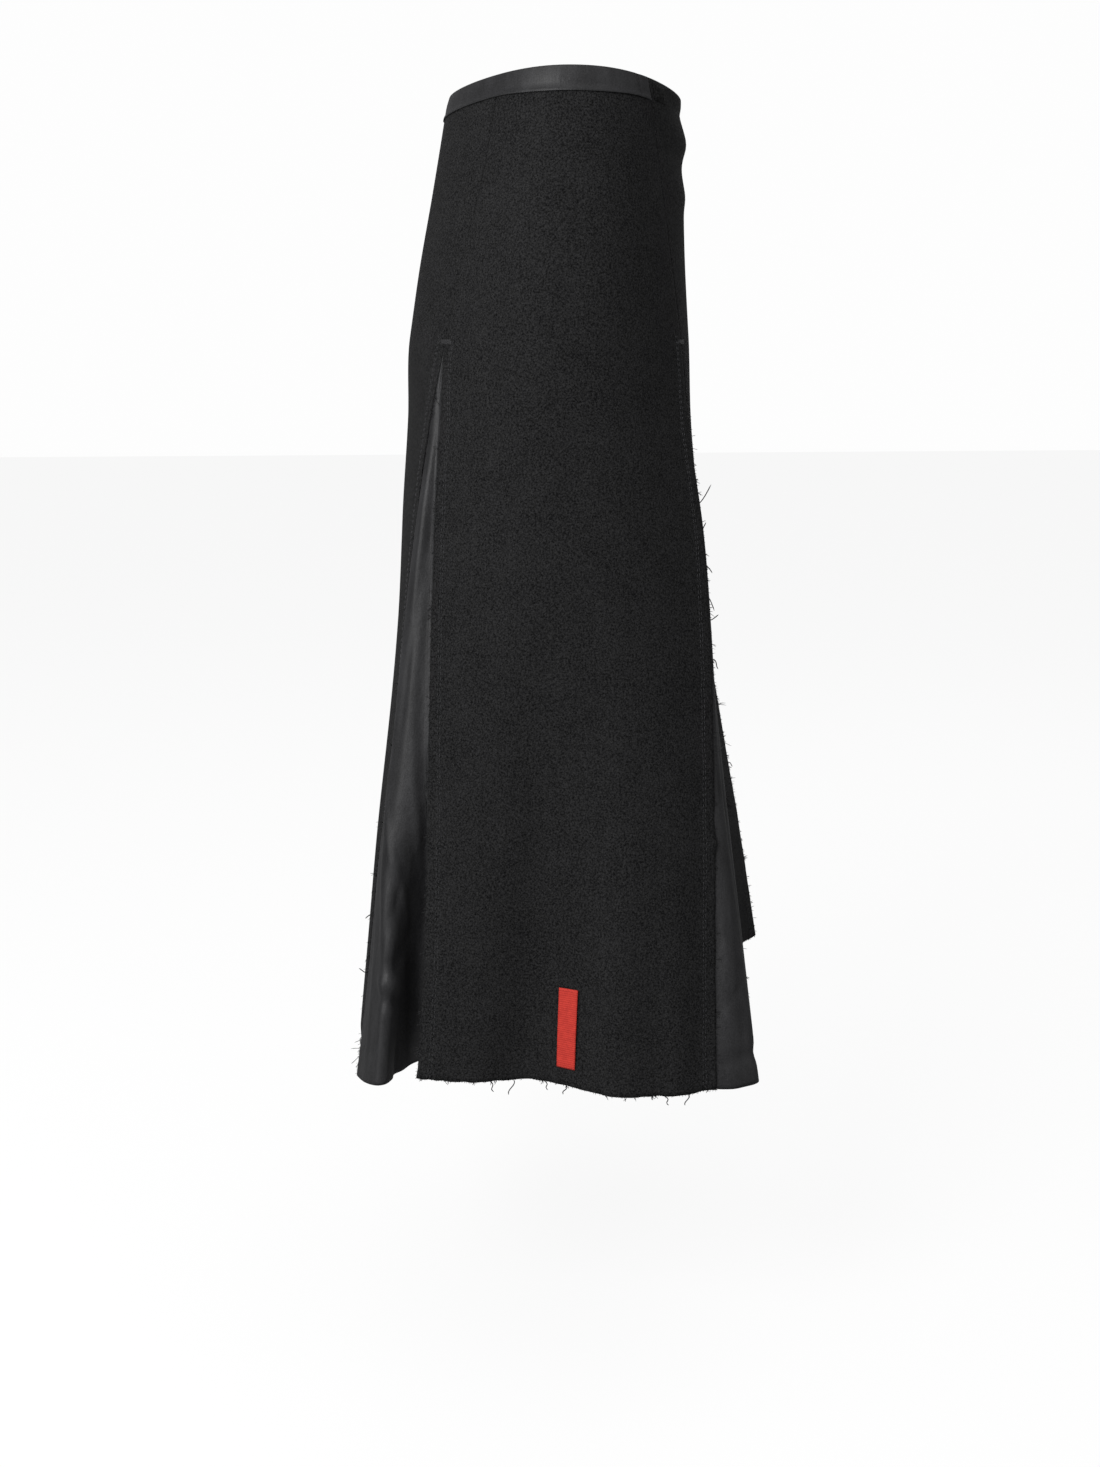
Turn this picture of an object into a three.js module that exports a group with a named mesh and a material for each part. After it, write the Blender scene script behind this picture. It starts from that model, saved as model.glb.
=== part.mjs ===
// A-line midi skirt of four wool panels over four nylon godets, with a nylon waistband.
// Millimetres, +Z up. The origin is the middle of the waist, level with the top edge of the waistband.
// The front faces -Y and the wearer's right is -X. The skirt hangs as it does when it is worn: left leg
// a little forward, so the hem is pushed out at the front left and at the back right.
import * as THREE from "three";

// Cloth
const WOOL = 2; // melton wall
const NYLON = 1; // godet wall
const BAND = 1.8; // waistband wall, two layers of nylon over a stay
const GAP = 0.3; // between pieces that are sewn together
const PATCH_GAP = 0.45; // between a panel's true curve and what lies on it, for the flat faces of its wall

// Lengths down the skirt, measured from the top edge of the waistband
const HEM = 773;
const BAND_HEIGHT = 21; // of the waistband at the middle of each side
const BAND_NARROWS = 6; // by this much, to its height at the seams and at the back
const BAND_TAPER = 60; // over this distance from the middle of the side
const WAIST_DIP = 14; // how much lower the top edge runs at the front and the back
const HALF_DEPTH = 100; // of the waist, front to back
const GODET_TOP = 200;
const SEAM_OPEN = 270; // the edges of two panels are well apart from here down
const DRAPE_FROM = 380; // the folds fade in from here to the hem

// Seams
const LAP = 10; // raw edge of a wool panel beyond its topstitching
const ALLOWANCE = 8; // seam allowance of a godet, under the panel past the topstitching
const ROUNDNESS = 2.35; // exponent of a panel's bowed section

// Heights of the grid rows
const BAND_ROWS = [0, 11];
const TOP_ROWS = [BAND_HEIGHT + GAP, 33, 44, 55, 70, 85, 100, 125, 160];
const LOW_ROWS = [GODET_TOP, 235, 270, 310, 350, 390, 430, 475, 520, 565, 610, 655, 700, 740, HEM];
const PANEL_MIDDLE_COLUMNS = 11;
const GODET_FREE_COLUMNS = 20;
const FOLD_ROUNDS = 3; // how often the folds of a godet are rounded

const COLOURS = { wool: 0x1f1f20, nylon: 0x3a3a3d, ribbon: 0xb0342a };

// Each panel's two vertical edges, seen from above, and how far the cloth between them bows outwards.
// Going round the body: a is the edge met first and b the edge met last, counter-clockwise from above.
const PANEL_COLUMNS = ["drop", "ax", "ay", "bx", "by", "bow"];
const PANEL_TABLES = {
  front: [
    [0, -102, -62, 102, -62, 41],
    [80, -101, -73.5, 101, -73.5, 32],
    [140, -103, -82, 103, -82, 25],
    [200, -106, -90, 106, -90, 20],
    [270, -108, -97, 109, -103, 12.5],
    [350, -111, -106, 112, -124, 7],
    [430, -114, -115, 115, -145, 0],
    [500, -116, -122, 116, -162, -4],
    [600, -119, -133, 116, -181, -6],
    [700, -122, -144, 116, -199, -8],
    [773, -125, -152, 115, -205, -9],
  ],
  side_left: [
    [0, 102, -62, 97, 50.5, 25.5],
    [80, 101, -73.5, 99, 66, 45.5],
    [140, 103, -82, 101, 82, 58],
    [200, 106, -90, 103, 95.5, 65.5],
    [270, 118, -95, 123, 99, 58],
    [350, 134, -103, 145, 102, 51],
    [430, 148, -109, 166, 104, 43],
    [500, 161, -114, 184, 105, 36],
    [600, 180, -119, 211, 104, 26],
    [700, 199, -126, 238, 102, 16],
    [773, 213, -131, 258, 100, 9],
  ],
  back: [
    [0, 97, 50.5, -97, 50.5, 35],
    [80, 99, 66, -99, 66, 34],
    [140, 101, 82, -101, 82, 29],
    [200, 103, 95.5, -103, 95.5, 24.5],
    [270, 106, 103, -107, 110, 16.5],
    [350, 109, 112, -115, 122.5, 12],
    [430, 112, 121, -121, 132.5, 7],
    [500, 114, 129, -127, 140.5, 5],
    [600, 117, 141, -136, 156, 1],
    [700, 120, 151, -144, 168, -2],
    [773, 122, 158, -150, 178, -4],
  ],
  side_right: [
    [0, -97, 50.5, -102, -62, 25.5],
    [80, -99, 66, -101, -73.5, 45.5],
    [140, -101, 82, -103, -82, 58],
    [200, -103, 95.5, -106, -90, 65.5],
    [270, -116.5, 101.5, -124, -94, 58.5],
    [350, -132, 108, -146, -103, 50.5],
    [430, -147, 112.5, -167, -106, 43],
    [500, -160.5, 115.5, -185, -106, 36],
    [600, -180, 119, -212, -104.5, 26],
    [700, -199, 124, -238.5, -102, 16],
    [773, -213, 131, -258, -100, 9],
  ],
};

// Soft vertical folds of the panels: place across the panel from a to b, width as a share of it, and
// how far the fold stands out at the hem.
const FOLD_COLUMNS = ["place", "width", "out"];
const FOLD_TABLES = {
  front: [
    [0.2, 0.16, 5],
    [0.74, 0.14, -7],
  ],
  side_left: [
    [0.3, 0.15, 12],
    [0.66, 0.14, -11],
  ],
  back: [
    [0.28, 0.15, -6],
    [0.6, 0.16, 8],
  ],
  side_right: [
    [0.37, 0.13, -16],
    [0.7, 0.13, 16],
    [0.88, 0.07, 9],
  ],
};

// Ripples across the front under the waist: height down the skirt, half height, and how far it stands out.
const RIPPLE_COLUMNS = ["drop", "half", "out"];
const FRONT_RIPPLES = [
  [18, 8, -1.8],
  [39, 11, 3.8],
  [62, 9, -1],
  [84, 10, 1.8],
];

const ROUND = ["front", "side_left", "back", "side_right"];

// How much lower the hem of a panel hangs at its a and b edges than at HEM.
const HEM_SAG = {
  front: [0, 0],
  side_left: [0, 0],
  back: [4, 20],
  side_right: [0, 0],
};

// Section of each godet between its two panels: three points, each as a share of the way from panel to
// panel and a distance out from the straight line between them.
const GODET_COLUMNS = ["drop", "s1", "out1", "s2", "out2", "s3", "out3"];
const DEEP_PLEAT = [
  [200, 0.3, 0, 0.5, 0, 0.7, 0],
  [250, 0.3, 0, 0.5, -1, 0.7, -1],
  [350, 0.35, 4, 0.6, 6, 0.85, -1],
  [500, 0.42, 11, 0.66, 10, 0.88, 0],
  [600, 0.55, 17, 0.74, 9, 0.92, -8],
  [690, 0.72, 22, 0.6, -8, 0.88, -18],
  [773, 0.79, 25, 0.5, -23, 0.86, -27],
];
const OPEN_FLUTE = [
  [200, 0.3, 0, 0.5, 0, 0.7, 0],
  [250, 0.3, -1, 0.5, -1.5, 0.7, -1],
  [350, 0.3, -2, 0.55, -5, 0.8, -3],
  [480, 0.2, 1, 0.55, -8, 0.8, -2],
  [560, 0.16, 6, 0.52, -11, 0.82, 0],
  [657, 0.17, 18, 0.5, -16, 0.82, 4],
  [773, 0.175, 33, 0.5, -21, 0.83, 8],
];
const GODETS = [
  { name: "godet_front_left", from: "front", to: "side_left", section: DEEP_PLEAT },
  { name: "godet_back_left", from: "side_left", to: "back", section: OPEN_FLUTE },
  { name: "godet_back_right", from: "back", to: "side_right", section: DEEP_PLEAT },
  { name: "godet_front_right", from: "side_right", to: "front", section: OPEN_FLUTE },
];

// Pieces that lie on a panel: the tab that closes the top of the front over the end of the waistband, and
// a short ribbon at the hem of the right side. middle is the place across the panel from a to b.
const CLOSING_TAB = {
  panel: "front", middle: 0.055, top: 3, length: 18, width: 18, wall: 1.2, columns: 3, rows: 2,
};
const RIBBON_TAB = {
  panel: "side_right", middle: 0.5, top: 697, length: 62, width: 16, wall: 1, columns: 3, rows: 5,
};

// The row of a table at a drop, as an object with the table's column names. It is cubic between rows. Its
// slope at GODET_TOP follows the row above alone, because the edges of two panels are one down to there.
function rowAt(columns, rows, drop) {
  const last = rows.length - 1;
  let i = 0;
  while (i < last - 1 && drop > rows[i + 1][0]) i += 1;
  const step = rows[i + 1][0] - rows[i][0];
  const t = THREE.MathUtils.clamp((drop - rows[i][0]) / step, 0, 1);
  const slope = (k, column) => {
    const low = Math.max(k - 1, 0);
    const high = k > 0 && rows[k][0] === GODET_TOP ? k : Math.min(k + 1, last);
    return ((rows[high][column] - rows[low][column]) / (rows[high][0] - rows[low][0])) * step;
  };
  const named = {};
  columns.forEach((name, column) => {
    const start = rows[i][column];
    const end = rows[i + 1][column];
    const in_slope = slope(i, column);
    const out_slope = slope(i + 1, column);
    const c2 = 3 * (end - start) - 2 * in_slope - out_slope;
    const c3 = 2 * (start - end) + in_slope + out_slope;
    named[name] = start + t * (in_slope + t * (c2 + t * c3));
  });
  return named;
}

const bell = (x, middle, width) => Math.exp(-(((x - middle) / width) ** 2));
const named = (columns, row) => Object.fromEntries(columns.map((name, i) => [name, row[i]]));

// The direction out of the body from the line that runs from p to q, seen from above.
function outward(p, q) {
  return new THREE.Vector3(q.y - p.y, p.x - q.x, 0).normalize();
}

// A point of a panel's outer face: across from 0 at its a edge to 1 at its b edge, down the skirt by drop.
function panelPoint(panel, across, drop) {
  const row = rowAt(PANEL_COLUMNS, PANEL_TABLES[panel], drop);
  const a = new THREE.Vector3(row.ax, row.ay, 0);
  const b = new THREE.Vector3(row.bx, row.by, 0);
  let out = row.bow * (1 - Math.abs(2 * across - 1) ** ROUNDNESS);
  const drape = THREE.MathUtils.smoothstep(drop, DRAPE_FROM, HEM);
  for (const fold of FOLD_TABLES[panel].map((r) => named(FOLD_COLUMNS, r)))
    out += drape * fold.out * bell(across, fold.place, fold.width);
  if (panel === "front")
    for (const ripple of FRONT_RIPPLES.map((r) => named(RIPPLE_COLUMNS, r)))
      out += ripple.out * bell(drop, ripple.drop, ripple.half) * Math.sin(Math.PI * across);
  const point = a.clone().lerp(b, across).addScaledVector(outward(a, b), out);
  const sag = THREE.MathUtils.lerp(...HEM_SAG[panel], across);
  const dip = WAIST_DIP * (point.y / HALF_DEPTH) ** 2;
  const lift = BAND_NARROWS * THREE.MathUtils.smoothstep(Math.abs(point.y), 0, BAND_TAPER);
  const under_band = Math.min(drop / BAND_HEIGHT, 1);
  const near_waist = 1 - THREE.MathUtils.smoothstep(drop, 0, GODET_TOP);
  point.z = -drop + (lift * under_band - dip) * near_waist - sag * drape;
  return point;
}

// The places across a panel of its grid columns: the raw edge, the topstitching and the end of the
// godet's allowance on each side, and even steps between.
function panelColumns(panel, drop) {
  const samples = 24;
  let length = 0;
  for (let i = 0; i < samples; i += 1)
    length += panelPoint(panel, i / samples, drop).distanceTo(panelPoint(panel, (i + 1) / samples, drop));
  const lap = LAP / length;
  const inner = (LAP + ALLOWANCE) / length;
  const middle = [];
  for (let i = 1; i < PANEL_MIDDLE_COLUMNS; i += 1)
    middle.push(THREE.MathUtils.lerp(inner, 1 - inner, i / PANEL_MIDDLE_COLUMNS));
  return [0, lap, inner, ...middle, 1 - inner, 1 - lap, 1];
}

// The directions out of the cloth along a line, seen from above.
function normals(line) {
  const last = line.length - 1;
  return line.map((_, i) => outward(line[Math.max(i - 1, 0)], line[Math.min(i + 1, last)]));
}

// The line moved along its directions by a distance, inwards if it is negative.
function moved(line, distance, directions = normals(line)) {
  return line.map((point, i) => point.clone().addScaledVector(directions[i], distance));
}

// A closed wall between an outer grid and an inner grid, each a list of rows from the top down.
function wall(outer, inner) {
  const rows = outer.length;
  const columns = outer[0].length;
  const positions = [...outer.flat(), ...inner.flat()].flatMap((p) => [p.x, p.y, p.z]);
  const at = (face, row, column) => (face * rows + row) * columns + column;
  const index = [];
  const quad = (a, b, c, d) => index.push(a, b, c, a, c, d);
  for (let r = 0; r < rows - 1; r += 1) {
    for (let c = 0; c < columns - 1; c += 1) {
      quad(at(0, r, c), at(0, r + 1, c), at(0, r + 1, c + 1), at(0, r, c + 1));
      quad(at(1, r, c), at(1, r, c + 1), at(1, r + 1, c + 1), at(1, r + 1, c));
    }
    quad(at(0, r, 0), at(1, r, 0), at(1, r + 1, 0), at(0, r + 1, 0));
    const last = columns - 1;
    quad(at(0, r, last), at(0, r + 1, last), at(1, r + 1, last), at(1, r, last));
  }
  for (let c = 0; c < columns - 1; c += 1) {
    quad(at(0, 0, c), at(0, 0, c + 1), at(1, 0, c + 1), at(1, 0, c));
    const last = rows - 1;
    quad(at(0, last, c), at(1, last, c), at(1, last, c + 1), at(0, last, c + 1));
  }
  const geometry = new THREE.BufferGeometry();
  geometry.setAttribute("position", new THREE.Float32BufferAttribute(positions, 3));
  geometry.setIndex(index);
  geometry.computeVertexNormals();
  return geometry;
}

function mesh(name, geometry, colour, roughness) {
  const material = new THREE.MeshStandardMaterial({ color: colour, roughness, metalness: 0 });
  const piece = new THREE.Mesh(geometry, material);
  piece.name = name;
  return piece;
}

// The outer line of a panel at a drop, with half the seam's gap taken off each edge.
function panelLine(panel, drop) {
  const line = panelColumns(panel, drop).map((across) => panelPoint(panel, across, drop));
  const trim = (end, next) => end.addScaledVector(next.clone().sub(end).setZ(0).normalize(), GAP / 2);
  trim(line[0], line[1]);
  trim(line[line.length - 1], line[line.length - 2]);
  return line;
}

// The directions out of a panel at a drop. Where two panels meet edge to edge they share one direction.
function panelNormals(panel, drop) {
  const place = ROUND.indexOf(panel);
  const before = normals(panelLine(ROUND.at(place - 1), drop));
  const after = normals(panelLine(ROUND[(place + 1) % ROUND.length], drop));
  const own = normals(panelLine(panel, drop));
  const shared = 1 - THREE.MathUtils.smoothstep(drop, GODET_TOP, SEAM_OPEN);
  own[0].addScaledVector(before[before.length - 1], shared).normalize();
  own[own.length - 1].addScaledVector(after[0], shared).normalize();
  return own;
}

const panelInside = (panel, drop, depth) =>
  moved(panelLine(panel, drop), -depth, panelNormals(panel, drop));

function panelMesh(panel, name) {
  const drops = [...(panel === "front" ? BAND_ROWS : []), ...TOP_ROWS, ...LOW_ROWS];
  const outer = drops.map((drop) => panelLine(panel, drop));
  const inner = drops.map((drop) => panelInside(panel, drop, WOOL));
  return mesh(name, wall(outer, inner), COLOURS.wool, 0.95);
}

// The line with its sharp turns rounded off, and its ends where they were.
function rounded(line) {
  let soft = line;
  for (let round = 0; round < FOLD_ROUNDS; round += 1)
    soft = soft.map((point, i) => {
      if (i === 0 || i === soft.length - 1) return point;
      return point.clone().multiplyScalar(2).add(soft[i - 1]).add(soft[i + 1]).divideScalar(4);
    });
  return soft;
}

// The outer line of a godet at a drop. It starts and ends under the panels, on their own points, and
// between their raw edges it follows its section.
function godetLine(godet, drop) {
  const [from_edge, from_stitch, from_end] = panelInside(godet.from, drop, WOOL + GAP).reverse();
  const [to_edge, to_stitch, to_end] = panelInside(godet.to, drop, WOOL + GAP);
  const row = rowAt(GODET_COLUMNS, godet.section, drop);
  const out = outward(from_edge, to_edge);
  const section = [1, 2, 3].map((i) =>
    from_edge.clone().lerp(to_edge, row["s" + i]).addScaledVector(out, row["out" + i]),
  );
  const points = [from_stitch, from_edge, ...section, to_edge, to_stitch];
  const curve = new THREE.CatmullRomCurve3(points, false, "centripetal");
  const skipped = 1 / (points.length - 1);
  const free = [];
  for (let i = 0; i <= GODET_FREE_COLUMNS; i += 1)
    free.push(curve.getPoint(THREE.MathUtils.lerp(skipped, 1 - skipped, i / GODET_FREE_COLUMNS)));
  return [from_end, from_stitch, ...rounded(free), to_stitch, to_end];
}

function godetMesh(godet) {
  const outer = LOW_ROWS.map((drop) => godetLine(godet, drop));
  const inner = outer.map((line) => moved(line, -NYLON));
  return mesh(godet.name, wall(outer, inner), COLOURS.nylon, 0.55);
}

// The waistband runs from the front panel's left edge round the back to its right edge.
function waistbandMesh() {
  const outer = [0, BAND_HEIGHT].map((drop) => {
    const line = ["side_left", "back", "side_right"].flatMap((panel) => {
      const points = panelColumns(panel, drop).map((across) => panelPoint(panel, across, drop));
      return panel === "side_left" ? points : points.slice(1);
    });
    const inset = (end, next) => end.addScaledVector(next.clone().sub(end).normalize(), GAP);
    inset(line[0], line[1]);
    inset(line[line.length - 1], line[line.length - 2]);
    return line;
  });
  const inner = outer.map((line) => moved(line, -BAND));
  return mesh("waistband", wall(outer, inner), COLOURS.nylon, 0.5);
}

// A flat piece that lies on the outside of a panel, made from the panel's own points moved out.
function patchMesh(name, patch, colour) {
  const { panel, middle, top, length, width, wall: thickness, columns, rows } = patch;
  const outer = [];
  const inner = [];
  for (let r = 0; r <= rows; r += 1) {
    const drop = top + (length * r) / rows;
    const probe = 0.01;
    const centre = panelPoint(panel, middle, drop);
    const share = probe / panelPoint(panel, middle + probe, drop).distanceTo(centre);
    const line = [];
    for (let c = 0; c <= columns; c += 1)
      line.push(panelPoint(panel, middle + (c / columns - 0.5) * width * share, drop));
    inner.push(moved(line, PATCH_GAP));
    outer.push(moved(line, PATCH_GAP + thickness));
  }
  return mesh(name, wall(outer, inner), colour, 0.7);
}

const skirt = new THREE.Group();
skirt.add(
  waistbandMesh(),
  panelMesh("front", "front_panel"),
  panelMesh("side_left", "side_panel_left"),
  panelMesh("back", "back_panel"),
  panelMesh("side_right", "side_panel_right"),
  ...GODETS.map(godetMesh),
  patchMesh("closing_tab", CLOSING_TAB, COLOURS.wool),
  patchMesh("ribbon_tab", RIBBON_TAB, COLOURS.ribbon),
);

export default skirt;
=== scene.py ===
"""Looks of the A-line midi skirt: thin cloth shells on the form of the solids, with their stitching,
frayed edges and creases. Metres, +Z up, -Y to the wearer's front, -X to the wearer's right."""

import math

import bpy
import numpy as np
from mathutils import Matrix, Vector


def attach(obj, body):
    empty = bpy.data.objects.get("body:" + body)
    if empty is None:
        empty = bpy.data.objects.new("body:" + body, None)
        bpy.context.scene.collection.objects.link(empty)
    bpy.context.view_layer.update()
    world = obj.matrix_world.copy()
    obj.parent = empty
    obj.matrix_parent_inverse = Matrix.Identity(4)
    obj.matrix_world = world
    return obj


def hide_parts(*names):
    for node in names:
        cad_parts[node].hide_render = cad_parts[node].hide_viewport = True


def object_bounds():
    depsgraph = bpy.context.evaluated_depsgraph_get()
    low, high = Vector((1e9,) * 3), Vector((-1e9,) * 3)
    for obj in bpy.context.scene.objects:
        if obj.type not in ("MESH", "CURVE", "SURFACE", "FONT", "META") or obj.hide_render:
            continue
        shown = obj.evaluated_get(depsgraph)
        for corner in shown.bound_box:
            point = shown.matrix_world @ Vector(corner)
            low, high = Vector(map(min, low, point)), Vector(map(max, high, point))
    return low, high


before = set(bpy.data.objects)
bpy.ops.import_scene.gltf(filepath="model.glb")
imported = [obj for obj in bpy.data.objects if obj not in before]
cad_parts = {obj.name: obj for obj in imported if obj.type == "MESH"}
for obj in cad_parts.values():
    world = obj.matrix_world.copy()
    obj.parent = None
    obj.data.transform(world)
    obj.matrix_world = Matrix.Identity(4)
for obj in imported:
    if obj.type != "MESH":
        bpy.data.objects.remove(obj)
CAD_BOX = [list(corner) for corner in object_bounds()]

# ---------------- camera, floor and lights

CAMERA_AT = (-1.5909, 0.1702, -0.200)
LOOK_YAW = math.radians(-6.0)  # of the view, from straight along +X
LOOK_DOWN = math.radians(12.1)
LENS = 45.57  # mm on a 36 mm sensor
FLOOR_DROP = 0.25  # floor under the hem, about where the wearer's feet would be
FLOOR_HALF = 12.0
FLOOR_GLOW = 0.88  # lit from below, like a light table


def set_inputs(node, values):
    for socket, value in values.items():
        node.inputs[socket].default_value = value


def make_camera():
    camera = bpy.data.objects.new("camera", bpy.data.cameras.new("camera"))
    camera.data.lens = LENS
    camera.data.sensor_width = 36
    camera.location = CAMERA_AT
    level = math.cos(LOOK_DOWN)
    look = Vector((math.cos(LOOK_YAW) * level, math.sin(LOOK_YAW) * level, -math.sin(LOOK_DOWN)))
    camera.rotation_mode = "QUATERNION"
    camera.rotation_quaternion = look.to_track_quat("-Z", "Y")
    bpy.context.scene.collection.objects.link(camera)
    bpy.context.scene.camera = camera


def make_floor():
    floor_z = CAD_BOX[0][2] - FLOOR_DROP
    corners = [
        (x * FLOOR_HALF, y * FLOOR_HALF, floor_z) for x, y in ((-1, -1), (1, -1), (1, 1), (-1, 1))
    ]
    data = bpy.data.meshes.new("floor")
    data.from_pydata(corners, [], [(0, 1, 2, 3)])
    floor = bpy.data.objects.new("floor", data)
    bpy.context.scene.collection.objects.link(floor)
    material = bpy.data.materials.new("floor")
    material.use_nodes = True
    shader = material.node_tree.nodes["Principled BSDF"]
    set_inputs(shader, {"Base Color": (0.05, 0.05, 0.05, 1), "Specular IOR Level": 0})
    set_inputs(shader, {"Emission Color": (1, 1, 1, 1), "Emission Strength": FLOOR_GLOW})
    data.materials.append(material)


# Soft square lights that face the middle of the skirt: name, place, width and watts. The key and the low
# one stand to the right and behind, and draw the folds of the godet there.
LIGHTS = (
    ("key", (-1.8, 1.3, 1.1), 0.9, 92),
    ("low", (-0.9, 2.1, 0.1), 0.6, 34),
    ("fill", (-1.6, -1.7, 0.9), 1.6, 4),
    ("left", (1.8, -0.9, 1.2), 1.8, 18),
    ("top", (0.0, 0.1, 2.6), 3.6, 80),
)
LIT_POINT = (0, 0, -0.4)
WORLD_LIGHT = 0.985


def make_lights():
    world = bpy.data.worlds.new("studio")
    world.use_nodes = True
    background = world.node_tree.nodes["Background"]
    set_inputs(background, {"Color": (1, 1, 1, 1), "Strength": WORLD_LIGHT})
    bpy.context.scene.world = world
    bpy.context.scene.view_settings.view_transform = "Standard"
    for name, at, width, watts in LIGHTS:
        data = bpy.data.lights.new(name, "AREA")
        data.size = width
        data.energy = watts
        lamp = bpy.data.objects.new(name, data)
        lamp.location = at
        aim = Vector(LIT_POINT) - lamp.location
        lamp.rotation_mode = "QUATERNION"
        lamp.rotation_quaternion = aim.to_track_quat("-Z", "Y")
        bpy.context.scene.collection.objects.link(lamp)


# ---------------- the skirt's form, in millimetres

WOOL = 1.5  # melton wall, thinner than the solid's, so raw edges look soft
NYLON = 1.0  # godet wall
BAND = 1.8  # waistband wall
LAP_WALL = 0.55  # the wool pressed flat where it laps the godets
LAP_GAP = 0.08  # between that lap and the nylon under it
BAND_GAP = 0.3  # between the waistband and the panels sewn to it
PATCH_GAP = 0.45  # between a panel and the tab that lies on it
HEM = 773.0  # drops are measured down from the top edge at the wearer's sides
BAND_HEIGHT = 21.0  # of the waistband at the middle of each side
BAND_NARROWS = 6.0  # by this much, to its height at the seams and at the back
BAND_TAPER = 60.0  # over this distance from the middle of the side
BAND_RISE = 3.0  # of the band's lower edge at the wearer's sides
BAND_RISE_WIDTH = 28.0
BAND_RISE_FADES = (1.2, 3.0)  # in band heights down, between which the rise fades out
WAIST_DIP = 14.0  # how much lower the top edge runs at the front and the back
HALF_DEPTH = 100.0  # of the waist, front to back
GODET_TOP = 200.0
SEAM_OPEN = 270.0  # the edges of two panels are well apart from here down
DRAPE_FROM = 380.0  # the folds fade in from here to the hem
LAP = 10.0  # raw edge of a wool panel beyond its topstitching
ALLOWANCE = 8.0  # seam allowance of a godet, under the panel past the topstitching
UNDER_LAP = LAP + ALLOWANCE
ROUNDNESS = 2.35  # exponent of a panel's bowed section
SEAM_COLUMNS = 11  # between the two laps, on a seam line
LENGTH_POINTS = 25  # for measuring across a panel

# Each panel's edges seen from above, counter-clockwise from a to b, and how far the cloth bows out.
PANEL_COLUMNS = ("drop", "ax", "ay", "bx", "by", "bow")
PANEL_TABLES = {
    "front": (
        (0, -102, -62, 102, -62, 41),
        (80, -101, -73.5, 101, -73.5, 32),
        (140, -103, -82, 103, -82, 25),
        (200, -106, -90, 106, -90, 20),
        (270, -108, -97, 109, -103, 12.5),
        (350, -111, -106, 112, -124, 7),
        (430, -114, -115, 115, -145, 0),
        (500, -116, -122, 116, -162, -4),
        (600, -119, -133, 116, -181, -6),
        (700, -122, -144, 116, -199, -8),
        (773, -125, -152, 115, -205, -9),
    ),
    "side_left": (
        (0, 102, -62, 97, 50.5, 25.5),
        (80, 101, -73.5, 99, 66, 45.5),
        (140, 103, -82, 101, 82, 58),
        (200, 106, -90, 103, 95.5, 65.5),
        (270, 118, -95, 123, 99, 58),
        (350, 134, -103, 145, 102, 51),
        (430, 148, -109, 166, 104, 43),
        (500, 161, -114, 184, 105, 36),
        (600, 180, -119, 211, 104, 26),
        (700, 199, -126, 238, 102, 16),
        (773, 213, -131, 258, 100, 9),
    ),
    "back": (
        (0, 97, 50.5, -97, 50.5, 35),
        (80, 99, 66, -99, 66, 34),
        (140, 101, 82, -101, 82, 29),
        (200, 103, 95.5, -103, 95.5, 24.5),
        (270, 106, 103, -107, 110, 16.5),
        (350, 109, 112, -115, 122.5, 12),
        (430, 112, 121, -121, 132.5, 7),
        (500, 114, 129, -127, 140.5, 5),
        (600, 117, 141, -136, 156, 1),
        (700, 120, 151, -144, 168, -2),
        (773, 122, 158, -150, 178, -4),
    ),
    "side_right": (
        (0, -97, 50.5, -102, -62, 25.5),
        (80, -99, 66, -101, -73.5, 45.5),
        (140, -101, 82, -103, -82, 58),
        (200, -103, 95.5, -106, -90, 65.5),
        (270, -116.5, 101.5, -124, -94, 58.5),
        (350, -132, 108, -146, -103, 50.5),
        (430, -147, 112.5, -167, -106, 43),
        (500, -160.5, 115.5, -185, -106, 36),
        (600, -180, 119, -212, -104.5, 26),
        (700, -199, 124, -238.5, -102, 16),
        (773, -213, 131, -258, -100, 9),
    ),
}

# Soft folds: place across the panel, width as a share of it, and how far out at the hem.
FOLDS = {
    "front": ((0.2, 0.16, 5), (0.74, 0.14, -7)),
    "side_left": ((0.3, 0.15, 12), (0.66, 0.14, -11)),
    "back": ((0.28, 0.15, -6), (0.6, 0.16, 8)),
    "side_right": ((0.37, 0.13, -16), (0.7, 0.13, 16), (0.88, 0.07, 9)),
}
# Ripples across the front under the waist: drop, half height, and how far out.
FRONT_RIPPLES = ((18, 8, -1.8), (39, 11, 3.8), (62, 9, -1), (84, 10, 1.8))
# How much lower the hem hangs at a panel's first edge and at its last.
HEM_SAG = {"front": (0, 0), "side_left": (0, 0), "back": (4, 20), "side_right": (0, 0)}
ROUND = ("front", "side_left", "back", "side_right")
# A panel's two raw edges: side, the column of the edge, and the column next to it.
EDGES = ((0, 0, 1), (1, -1, -2))

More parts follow.
